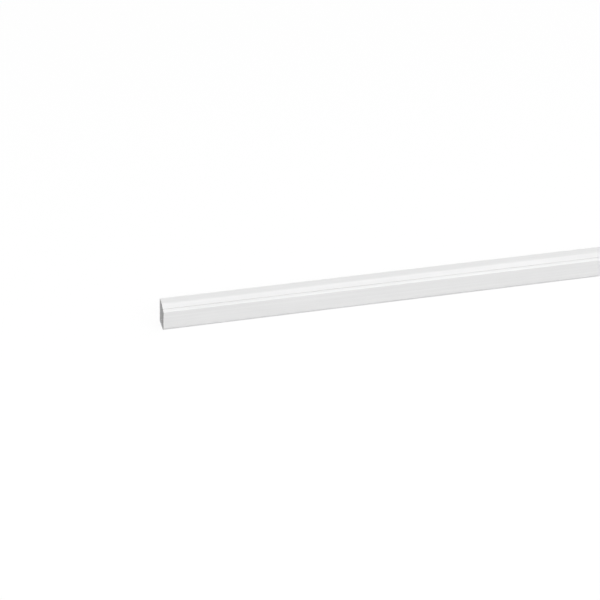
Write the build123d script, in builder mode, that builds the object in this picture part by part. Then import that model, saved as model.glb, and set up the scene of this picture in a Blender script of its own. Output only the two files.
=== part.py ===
from build123d import *

import os

# Cord cover raceway: one length of extruded PVC channel that hides cords along a wall.
# X runs along the length, Y from the room at the front to the wall at the back, and Z up.
# The origin is under the middle of the length, on the face that the raceway stands on.

# Driving sizes, in millimetres
length = 1524.0  # five-foot stock
depth = 12.7  # front face to wall
height = 19.05
wall = 1.1
bevel_depth = 5.9  # top front bevel, measured back from the front face
bevel_drop = 3.3  # the same bevel, measured down from the top face

# Rounds on the outside of the section, and on the inside where the outer round is small
back_edge_round = 0.6
bevel_top_round = 4.0
bevel_foot_round = 0.8
front_foot_round = 2.6
inside_round = 0.4

# The seam along the bevel, where the front springs open to take the cords
front_lip_width = 2.35  # free edge of the front to the foot of the bevel
seam_gap = 0.15
seam_edge_round = 0.2

# The snap behind the seam: a bead on the front's free edge, held by a hooked tongue
bead_width = 0.7
bead_height = 0.5
tongue_thickness = 0.9
tongue_root_width = 1.2
snap_clearance = 0.2
snap_round = 0.15

# Corners of the section in Y and Z, counter-clockwise seen from the right-hand end
front = -depth / 2
back = depth / 2
bottom_front = Vector(front, 0)
bottom_back = Vector(back, 0)
top_back = Vector(back, height)
bevel_top = Vector(front + bevel_depth, height)
bevel_foot = Vector(front, height - bevel_drop)
corners = [bottom_front, bottom_back, top_back, bevel_top, bevel_foot]
outer_rounds = [front_foot_round, back_edge_round, back_edge_round, bevel_top_round, bevel_foot_round]
inner_rounds = [max(outer - wall, inside_round) for outer in outer_rounds]


def inside_corner(before, corner, after):
    """The point that lies one wall in from both sides that meet at a corner."""
    inward_before = (corner - before).normalized().rotate(Axis.Z, 90)
    inward_after = (after - corner).normalized().rotate(Axis.Z, 90)
    share = wall / (1 + inward_before.dot(inward_after))
    return corner + (inward_before + inward_after) * share


neighbours = zip(corners[-1:] + corners[:-1], corners, corners[1:] + corners[:1])
inside_corners = [inside_corner(*trio) for trio in neighbours]

# On this plane, x is the distance down the bevel from its top edge and y the depth below its face
down_bevel = bevel_foot - bevel_top
bevel_plane = Plane(
    origin=(0, bevel_top.X, bevel_top.Y),
    x_dir=(0, down_bevel.X, down_bevel.Y),
    z_dir=(1, 0, 0),
)
bevel_width = down_bevel.length
front_lip_edge = bevel_width - front_lip_width
top_lip_edge = front_lip_edge - seam_gap

# The tongue lies under the bead, with its hook between the bead and the inside corner of the bevel
inside_foot = inside_corners[corners.index(bevel_foot)]
hook_end = bevel_plane.to_local_coords(Vector(0, inside_foot.X, inside_foot.Y)).X - snap_clearance
hook_start = front_lip_edge + bead_width + snap_clearance
hook_face = wall + snap_clearance
tongue_face = hook_face + bead_height
tongue_back = tongue_face + tongue_thickness
tongue_root = top_lip_edge - tongue_root_width

with BuildPart() as raceway:
    with BuildSketch(Plane.YZ) as shell:
        with BuildLine():
            FilletPolyline(*corners, radius=outer_rounds, close=True)
        make_face()
        with BuildLine():
            FilletPolyline(*inside_corners, radius=inner_rounds, close=True)
        make_face(mode=Mode.SUBTRACT)
    extrude(amount=length / 2, both=True)

    # The seam cuts the wall right through, a wall's thickness past both of its faces
    with BuildSketch(bevel_plane) as seam:
        with Locations((top_lip_edge, wall / 2)):
            Rectangle(seam_gap, 3 * wall, align=(Align.MIN, Align.CENTER))
    extrude(amount=length / 2, both=True, mode=Mode.SUBTRACT)

    for lip_edge in (top_lip_edge, front_lip_edge):
        outside_edge = bevel_plane.from_local_coords(Vector(lip_edge, 0, 0))
        long_edges = raceway.edges().filter_by(Axis.X)
        fillet(long_edges.sort_by_distance(outside_edge)[0], radius=seam_edge_round)

    # Both snap profiles start inside the wall that carries them
    with BuildSketch(bevel_plane) as bead:
        with BuildLine():
            FilletPolyline(
                (front_lip_edge, wall / 2),
                (front_lip_edge + bead_width, wall / 2),
                (front_lip_edge + bead_width, wall + bead_height),
                (front_lip_edge, wall + bead_height),
                radius=[0, 0, snap_round, snap_round],
                close=True,
            )
        make_face()
    extrude(amount=length / 2, both=True)

    with BuildSketch(bevel_plane) as tongue:
        with BuildLine():
            FilletPolyline(
                (tongue_root, wall / 2),
                (top_lip_edge, wall / 2),
                (top_lip_edge, tongue_face),
                (hook_start, tongue_face),
                (hook_start, hook_face),
                (hook_end, hook_face),
                (hook_end, tongue_back),
                (tongue_root, tongue_back),
                radius=[0, 0, snap_round, snap_round, snap_round, snap_round, snap_round, inside_round],
                close=True,
            )
        make_face()
    extrude(amount=length / 2, both=True)

    # Fillets where the bead and the tongue spring from the wall
    for snap_root, root_round in ((front_lip_edge + bead_width, snap_round), (tongue_root, inside_round)):
        inside_edge = bevel_plane.from_local_coords(Vector(snap_root, wall, 0))
        long_edges = raceway.edges().filter_by(Axis.X)
        fillet(long_edges.sort_by_distance(inside_edge)[0], radius=root_round)

raceway.part.label = "raceway"

os.makedirs("parts", exist_ok=True)
export_step(raceway.part, "parts/raceway.step")
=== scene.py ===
from math import cos, radians, sin, tan

import bmesh
import bpy
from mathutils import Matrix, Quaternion, Vector


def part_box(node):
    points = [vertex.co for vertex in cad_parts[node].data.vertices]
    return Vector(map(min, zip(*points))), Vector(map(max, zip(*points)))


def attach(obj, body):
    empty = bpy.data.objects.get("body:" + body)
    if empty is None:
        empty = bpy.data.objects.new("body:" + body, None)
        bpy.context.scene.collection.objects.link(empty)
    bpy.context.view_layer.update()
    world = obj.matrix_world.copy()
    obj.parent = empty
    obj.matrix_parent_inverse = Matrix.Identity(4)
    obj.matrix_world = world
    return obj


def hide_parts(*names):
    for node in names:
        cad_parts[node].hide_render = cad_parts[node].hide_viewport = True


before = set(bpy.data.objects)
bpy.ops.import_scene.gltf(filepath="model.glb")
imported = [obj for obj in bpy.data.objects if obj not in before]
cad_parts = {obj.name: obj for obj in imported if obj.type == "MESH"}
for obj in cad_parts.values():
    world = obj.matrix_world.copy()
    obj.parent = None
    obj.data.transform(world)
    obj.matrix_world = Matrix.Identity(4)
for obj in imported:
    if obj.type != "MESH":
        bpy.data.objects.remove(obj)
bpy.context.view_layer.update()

mm = 0.001  # the frame is in metres
slack = 0.001 * mm  # allowed for rounding where places are compared
scene = bpy.context.scene


def linearColour(code):
    # sRGB hex to the linear colour that sockets take
    channels = [int(code[i:i + 2], 16) / 255 for i in (1, 3, 5)]
    return [c / 12.92 if c <= 0.04045 else ((c + 0.055) / 1.055) ** 2.4 for c in channels] + [1]


def addNode(tree, kind, inputs=None, **settings):
    # a node with its settings, its fixed inputs and its links
    node = tree.nodes.new(kind)
    for name, value in settings.items():
        setattr(node, name, value)
    for socket, value in (inputs or {}).items():
        if isinstance(value, bpy.types.NodeSocket):
            tree.links.new(value, node.inputs[socket])
        else:
            node.inputs[socket].default_value = value
    return node


def emptyMaterial(name):
    material = bpy.data.materials.new(name)
    material.use_nodes = True
    material.node_tree.nodes.clear()
    return material, material.node_tree


def vertsOf(geom):
    return [item for item in geom if isinstance(item, bmesh.types.BMVert)]


# raceway: one extruded section, drawn flat at the left end and pulled out to its length
racewaySizes = {  # mm, apart from the last four
    "wall": 1.1,
    "bevelDepth": 5.9,
    "bevelDrop": 3.3,
    "outerRounds": (2.6, 0.6, 0.6, 4.0, 0.8),  # bottom front, bottom back, top back, bevel top, bevel foot
    "insideRound": 0.4,
    "frontLipWidth": 2.35,
    "seamGap": 0.15,
    "seamEdgeRound": 0.2,
    "beadWidth": 0.7,
    "beadHeight": 0.5,
    "tongueThickness": 0.9,
    "tongueRootWidth": 1.2,
    "snapClearance": 0.2,
    "snapRound": 0.15,
    "endChamfer": 0.1,
    "stationSpacing": 50.0,  # from one cross loop of edges to the next
    "roundSegments": 6,
    "chamferSegments": 2,
    "flatAngle": 1,  # degrees, up to which two faces of the section are one
    "sharpAngle": 35,  # degrees, past which an edge is shaded sharp
}


def drawWall(bm, outline, thickness):
    # a closed ring with sharp corners
    outer = [bm.verts.new(corner) for corner in outline]
    hollow = bm.faces.new(outer)
    hollow.normal_update()  # the inset needs it
    bmesh.ops.inset_region(bm, faces=[hollow], thickness=thickness, use_even_offset=True, use_boundary=True)
    inner = list(hollow.verts)
    bmesh.ops.delete(bm, geom=[hollow], context="FACES_ONLY")
    return outer, inner


def drawSection(bm, low, high, sizes):
    wall = sizes["wall"] * mm
    bevelTop = Vector((low.x, low.y + sizes["bevelDepth"] * mm, high.z))
    bevelFoot = Vector((low.x, low.y, high.z - sizes["bevelDrop"] * mm))
    bottomFront = Vector((low.x, low.y, low.z))
    bottomBack = Vector((low.x, high.y, low.z))
    topBack = Vector((low.x, high.y, high.z))
    outer, inner = drawWall(bm, [bottomFront, bottomBack, topBack, bevelTop, bevelFoot], wall)

    # distances down the bevel from its top edge
    down = (bevelFoot - bevelTop).normalized()
    bevelWidth = (bevelFoot - bevelTop).length
    frontLip = bevelWidth - sizes["frontLipWidth"] * mm
    topLip = frontLip - sizes["seamGap"] * mm
    beadEnd = frontLip + sizes["beadWidth"] * mm
    hookStart = beadEnd + sizes["snapClearance"] * mm
    insideFoot = inner[-1].co
    hookEnd = (insideFoot - bevelTop).dot(down) - sizes["snapClearance"] * mm
    tongueRoot = topLip - sizes["tongueRootWidth"] * mm

    # depths under the bevel's face
    under = Vector((0, -down.z, down.y))
    beadFace = wall + sizes["beadHeight"] * mm
    hookFace = wall + sizes["snapClearance"] * mm
    tongueFace = hookFace + sizes["beadHeight"] * mm
    tongueBack = tongueFace + sizes["tongueThickness"] * mm

    def pick(items, downFrom, downTo, underFrom, underTo):
        kept = []
        for item in items:
            offsets = [vert.co - bevelTop for vert in getattr(item, "verts", [item])]
            if all(downFrom - slack < offset.dot(down) < downTo + slack
                   and underFrom - slack < offset.dot(under) < underTo + slack for offset in offsets):
                kept.append(item)
        return kept

    def grow(edges, step):
        made = bmesh.ops.extrude_edge_only(bm, edges=edges)["geom"]
        bmesh.ops.translate(bm, verts=vertsOf(made), vec=step)

    # cut the bevel's wall into stations and take out the seam
    for station in (tongueRoot, topLip, frontLip, beadEnd):
        bevelWall = []
        for items in (bm.verts, bm.edges, bm.faces):
            bevelWall += pick(items, 0, bevelWidth, 0, wall)
        bmesh.ops.bisect_plane(bm, geom=bevelWall, plane_co=bevelTop + down * station, plane_no=down)
    bmesh.ops.delete(bm, geom=pick(bm.faces, topLip, frontLip, 0, wall), context="FACES")

    # the bead on the front's free edge, then the tongue and its hook
    grow(pick(bm.edges, frontLip, beadEnd, wall, wall), under * (beadFace - wall))
    grow(pick(bm.edges, tongueRoot, topLip, wall, wall), under * (tongueFace - wall))
    grow(pick(bm.edges, tongueRoot, topLip, tongueFace, tongueFace), under * (tongueBack - tongueFace))
    grow(pick(bm.edges, topLip, topLip, tongueFace, tongueBack), down * (hookStart - topLip))
    grow(pick(bm.edges, hookStart, hookStart, tongueFace, tongueBack), down * (hookEnd - hookStart))
    grow(pick(bm.edges, hookStart, hookEnd, tongueFace, tongueFace), under * (hookFace - tongueFace))

    # what is to be rounded: the ring's corners, then the snap's, the seam's and the tongue's root
    innerRounds = [max(radius - sizes["wall"], sizes["insideRound"]) for radius in sizes["outerRounds"]]
    rounds = [*zip(outer, sizes["outerRounds"]), *zip(inner, innerRounds)]
    hookCorners = [(topLip, tongueFace), (hookStart, tongueFace), (hookStart, hookFace),
                   (hookEnd, hookFace), (hookEnd, tongueBack)]
    beadCorners = [(frontLip, beadFace), (beadEnd, beadFace), (beadEnd, wall)]
    cornerRounds = [(corner, sizes["snapRound"]) for corner in hookCorners + beadCorners]
    cornerRounds += [((lip, 0), sizes["seamEdgeRound"]) for lip in (topLip, frontLip)]
    cornerRounds += [((tongueRoot, depth), sizes["insideRound"]) for depth in (tongueBack, wall)]
    for (distance, depth), radius in cornerRounds:
        rounds += [(vert, radius) for vert in pick(bm.verts, distance, distance, depth, depth)]
    return rounds


def roundSection(bm, rounds, sizes):
    # one face first, so that each corner has just two sides
    bmesh.ops.dissolve_limit(bm, angle_limit=radians(sizes["flatAngle"]), use_dissolve_boundaries=False,
                             verts=bm.verts[:], edges=bm.edges[:], delimit=set())
    print("section:", len(bm.faces), "face,", len(bm.verts), "corners,", len(rounds), "of them rounded")
    for vert, radius in rounds:
        slide = radius * mm * tan(vert.calc_edge_angle() / 2)  # how far the round reaches along both sides
        bmesh.ops.bevel(bm, geom=[vert], offset=slide, offset_type="OFFSET", affect="VERTICES",
                        segments=sizes["roundSegments"], profile=0.5, material=-1)


def isSawn(face):
    squareOn = 0.99  # how much of its normal lies along the length, at the least
    return abs(face.normal.x) > squareOn


def makeRaceway():
    sizes = racewaySizes
    low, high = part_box("raceway")
    length = high.x - low.x
    bm = bmesh.new()
    rounds = drawSection(bm, low, high, sizes)
    roundSection(bm, rounds, sizes)
    made = bmesh.ops.extrude_face_region(bm, geom=bm.faces[:])["geom"]
    bmesh.ops.translate(bm, verts=vertsOf(made), vec=(length, 0, 0))
    bmesh.ops.recalc_face_normals(bm, faces=bm.faces[:])

    # cross loops, so that no face runs the whole length, then the break on the sawn edges
    spans = round(length / (sizes["stationSpacing"] * mm))
    for i in range(1, spans):
        bmesh.ops.bisect_plane(bm, geom=[*bm.verts, *bm.edges, *bm.faces],
                               plane_co=(low.x + length * i / spans, 0, 0), plane_no=(1, 0, 0))
    rims = [edge for edge in bm.edges if any(isSawn(face) for face in edge.link_faces)]
    bmesh.ops.bevel(bm, geom=rims, offset=sizes["endChamfer"] * mm, offset_type="OFFSET", affect="EDGES",
                    segments=sizes["chamferSegments"], profile=0.5, material=-1)
    for face in bm.faces:
        face.smooth = True
        face.material_index = int(isSawn(face))

    mesh = bpy.data.meshes.new("raceway_extrusion")
    bm.to_mesh(mesh)
    bm.free()
    mesh.set_sharp_from_angle(angle=radians(sizes["sharpAngle"]))
    piece = bpy.data.objects.new("raceway_extrusion", mesh)
    scene.collection.objects.link(piece)
    flats = piece.modifiers.new("flat_faces", "WEIGHTED_NORMAL")  # wide faces stay flat beside their rounds
    flats.keep_sharp = True
    print("raceway:", len(mesh.polygons), "faces")
    return piece


# rigid PVC pushed through a die: white right through, satin, with faint lines drawn along the length
extrudedSettings = {
    "white": "#F5F5F5",
    "greyer": "#EFEFEF",
    "toneRange": (0.12, 0.4),  # of lines times clouds, from the greyer to the white
    "roughness": (0.46, 0.58),  # in the polished lines and between them
    "roughRange": (0.3, 0.7),  # of the lines, from the one to the other
    "ior": 1.53,
    "lineSize": (350.0, 1.6, 1.6),  # mm, long along X, and wider than the real 0.3 so that it shows
    "lineHeight": 0.02,  # mm
    "cloudSize": (90.0, 9.0, 9.0),  # mm
    "grainSize": 0.9,  # mm, coarser than the real 0.1 so that it shows
    "grainHeight": 0.006,  # mm
}


def extrudedPvc():
    settings = extrudedSettings
    material, tree = emptyMaterial("extruded_white_pvc")
    place = addNode(tree, "ShaderNodeTexCoord").outputs["Object"]
    lineSpace = addNode(tree, "ShaderNodeMapping", {
        "Vector": place,
        "Scale": [1 / (size * mm) for size in settings["lineSize"]],
    })
    lines = addNode(tree, "ShaderNodeTexNoise", {
        "Vector": lineSpace.outputs[0],
        "Scale": 1.0,
        "Detail": 3.0,
        "Roughness": 0.6,
    })
    cloudSpace = addNode(tree, "ShaderNodeMapping", {
        "Vector": place,
        "Scale": [1 / (size * mm) for size in settings["cloudSize"]],
    })
    clouds = addNode(tree, "ShaderNodeTexNoise", {
        "Vector": cloudSpace.outputs[0],
        "Scale": 1.0,
        "Detail": 2.0,
    })
    grain = addNode(tree, "ShaderNodeTexNoise", {
        "Vector": place,
        "Scale": 1 / (settings["grainSize"] * mm),
        "Detail": 2.0,
    })

    shade = addNode(tree, "ShaderNodeMath", {
        0: lines.outputs[0],
        1: clouds.outputs[0],
    }, operation="MULTIPLY")
    darkest, lightest = settings["toneRange"]
    tone = addNode(tree, "ShaderNodeMapRange", {
        "Value": shade.outputs[0],
        "From Min": darkest,
        "From Max": lightest,
    })
    colour = addNode(tree, "ShaderNodeMix", {  # its factor and its two colours
        0: tone.outputs[0],
        6: linearColour(settings["greyer"]),
        7: linearColour(settings["white"]),
    }, data_type="RGBA")
    (inLine, between), (polished, plain) = settings["roughRange"], settings["roughness"]
    rough = addNode(tree, "ShaderNodeMapRange", {
        "Value": lines.outputs[0],
        "From Min": inLine,
        "From Max": between,
        "To Min": polished,
        "To Max": plain,
    })
    drawn = addNode(tree, "ShaderNodeBump", {
        "Height": lines.outputs[0],
        "Distance": settings["lineHeight"] * mm,
    })
    satin = addNode(tree, "ShaderNodeBump", {
        "Height": grain.outputs[0],
        "Distance": settings["grainHeight"] * mm,
        "Normal": drawn.outputs[0],
    })
    shader = addNode(tree, "ShaderNodeBsdfPrincipled", {
        "Base Color": colour.outputs[2],
        "Roughness": rough.outputs[0],
        "IOR": settings["ior"],
        "Normal": satin.outputs[0],
    })
    addNode(tree, "ShaderNodeOutputMaterial", {"Surface": shader.outputs[0]})
    return material


# the same PVC where the saw went through: matt and a little greyer, scored by the teeth
sawnSettings = {
    "white": "#EEEEED",
    "scored": "#DEDEDB",
    "roughness": 0.7,
    "ior": 1.53,
    "toothMarks": 0.55,  # mm from one to the next
    "markHeight": 0.03,  # mm
}


def sawnPvc():
    settings = sawnSettings
    waveLength = 0.314  # of this wave node at scale 1
    material, tree = emptyMaterial("sawn_white_pvc")
    marks = addNode(tree, "ShaderNodeTexWave", {
        "Vector": addNode(tree, "ShaderNodeTexCoord").outputs["Object"],
        "Scale": waveLength / (settings["toothMarks"] * mm),
        "Distortion": 1.5,
        "Detail": 2.0,
    }, bands_direction="Z")
    colour = addNode(tree, "ShaderNodeMix", {  # its factor and its two colours
        0: marks.outputs[1],
        6: linearColour(settings["scored"]),
        7: linearColour(settings["white"]),
    }, data_type="RGBA")
    scores = addNode(tree, "ShaderNodeBump", {
        "Height": marks.outputs[1],
        "Distance": settings["markHeight"] * mm,
    })
    shader = addNode(tree, "ShaderNodeBsdfPrincipled", {
        "Base Color": colour.outputs[2],
        "Roughness": settings["roughness"],
        "IOR": settings["ior"],
        "Normal": scores.outputs[0],
    })
    addNode(tree, "ShaderNodeOutputMaterial", {"Surface": shader.outputs[0]})
    return material


raceway = makeRaceway()
raceway.data.materials.append(extrudedPvc())
raceway.data.materials.append(sawnPvc())
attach(raceway, "root")
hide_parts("raceway")
print("materials:", [material.name for material in raceway.data.materials])


# studio on white backdrop paper: matt, and to the camera as white as what lies behind it
studioSettings = {
    "white": "#FFFFFF",
    "floorColour": "#B4B4B4",  # what the floor throws back on the raceway
    "floorGlow": (0.9, 1.0),  # share of plain white in what the camera sees of the floor, near and far
    "glowRange": (1.0, 3.0),  # m from the middle, where near ends and far starts
    "glowStrength": 1.02,  # of the plain white: over 1, because the lit paper mixed with it is duller
    "floorSize": 30.0,  # m
    "ambient": 0.445,
    "sideTilt": 0.95,  # share that the ambient light gains towards the right and loses towards the left
}

lampSettings = {  # m and W
    "key_softbox": {"place": (-0.9, -1.609, 1.5), "aim": (-0.75, 0, 0), "size": (1.6, 1.2), "watts": 25.8},
    "far_softbox": {"place": (0.9, -1.609, 1.5), "aim": (0.75, 0, 0), "size": (1.6, 1.2), "watts": 12.0},
    "back_strip": {"place": (0, 2.6, 0.2), "aim": (0, 0, 0.01), "size": (3.0, 0.3), "watts": 26.0},
}


def seenDirectly(tree):
    # 1 for what the camera sees, also in a reflection
    path = addNode(tree, "ShaderNodeLightPath").outputs
    reflected = addNode(tree, "ShaderNodeMath", {
        0: path["Is Glossy Ray"],
        1: path["Is Transmission Ray"],
    }, operation="MAXIMUM")
    seen = addNode(tree, "ShaderNodeMath", {
        0: path["Is Camera Ray"],
        1: reflected.outputs[0],
    }, operation="MAXIMUM")
    return seen.outputs[0]


def makeFloor():
    settings = studioSettings
    bm = bmesh.new()
    bmesh.ops.create_grid(bm, x_segments=1, y_segments=1, size=settings["floorSize"] / 2)
    mesh = bpy.data.meshes.new("floor")
    bm.to_mesh(mesh)
    bm.free()
    floor = bpy.data.objects.new("floor", mesh)
    scene.collection.objects.link(floor)
    material, tree = emptyMaterial("white_backdrop_paper")
    bounce = addNode(tree, "ShaderNodeBsdfDiffuse", {"Color": linearColour(settings["floorColour"])})
    white = addNode(tree, "ShaderNodeBsdfDiffuse", {"Color": linearColour(settings["white"])})
    glow = addNode(tree, "ShaderNodeEmission", {
        "Color": linearColour(settings["white"]),
        "Strength": settings["glowStrength"],
    })
    place = addNode(tree, "ShaderNodeTexCoord").outputs["Object"]
    away = addNode(tree, "ShaderNodeVectorMath", {0: place}, operation="LENGTH").outputs["Value"]
    (near, far), (least, most) = settings["glowRange"], settings["floorGlow"]
    share = addNode(tree, "ShaderNodeMapRange", {
        "Value": away,
        "From Min": near,
        "From Max": far,
        "To Min": least,
        "To Max": most,
    })
    shown = addNode(tree, "ShaderNodeMixShader", {
        0: share.outputs[0],
        1: white.outputs[0],
        2: glow.outputs[0],
    })
    mix = addNode(tree, "ShaderNodeMixShader", {
        0: seenDirectly(tree),
        1: bounce.outputs[0],
        2: shown.outputs[0],
    })
    addNode(tree, "ShaderNodeOutputMaterial", {"Surface": mix.outputs[0]})
    mesh.materials.append(material)


def makeWorld():
    settings = studioSettings
    white = linearColour(settings["white"])
    world = bpy.data.worlds.new("studio")
    world.use_nodes = True
    tree = world.node_tree
    tree.nodes.clear()
    direction = addNode(tree, "ShaderNodeTexCoord").outputs["Generated"]
    tilt = addNode(tree, "ShaderNodeMath", {
        0: addNode(tree, "ShaderNodeSeparateXYZ", {0: direction}).outputs["X"],
        1: settings["ambient"] * settings["sideTilt"],
        2: settings["ambient"],
    }, operation="MULTIPLY_ADD")
    ambient = addNode(tree, "ShaderNodeBackground", {"Color": white, "Strength": tilt.outputs[0]})
    backdrop = addNode(tree, "ShaderNodeBackground", {"Color": white, "Strength": 1.0})
    mix = addNode(tree, "ShaderNodeMixShader", {
        0: seenDirectly(tree),
        1: ambient.outputs[0],
        2: backdrop.outputs[0],
    })
    addNode(tree, "ShaderNodeOutputWorld", {"Surface": mix.outputs[0]})
    scene.world = world


def makeLamp(name, place, aim, size, watts):
    data = bpy.data.lights.new(name, "AREA")
    data.shape = "RECTANGLE"
    data.size, data.size_y = size
    data.energy = watts
    lamp = bpy.data.objects.new(name, data)
    lamp.location = place
    lamp.rotation_euler = (Vector(aim) - Vector(place)).to_track_quat("-Z", "Y").to_euler()
    scene.collection.objects.link(lamp)


makeFloor()
makeWorld()
for lampName, settings in lampSettings.items():
    makeLamp(lampName, **settings)
print("studio: floor, world and", len(lampSettings), "lamps")


# camera, at the photograph's viewing angle
cameraSettings = {
    "azimuth": 18.24,  # degrees that the view turns to the right of straight on
    "elevation": 34.81,
    "roll": 3.77,
    "distance": 1028.4,  # mm
    "aim": (-665.2, -6.35, 12.48),  # mm, the point at the middle of the picture
    "lens": 88.5,
    "sensor": 36.0,
    "clipStart": 10.0,  # mm
}


def makeCamera():
    settings = cameraSettings
    turn, rise = radians(settings["azimuth"]), radians(settings["elevation"])
    look = Vector((sin(turn) * cos(rise), cos(turn) * cos(rise), -sin(rise)))
    data = bpy.data.cameras.new("camera")
    data.sensor_width = settings["sensor"]
    data.lens = settings["lens"]
    data.clip_start = settings["clipStart"] * mm
    camera = bpy.data.objects.new("camera", data)
    camera.location = Vector(settings["aim"]) * mm - look * settings["distance"] * mm
    roll = Quaternion((0, 0, 1), radians(settings["roll"]))
    camera.rotation_euler = (look.to_track_quat("-Z", "Y") @ roll).to_euler()
    scene.collection.objects.link(camera)
    scene.camera = camera
    print("camera:", [round(value, 3) for value in camera.location], "m")


makeCamera()
scene.view_settings.view_transform = "Standard"
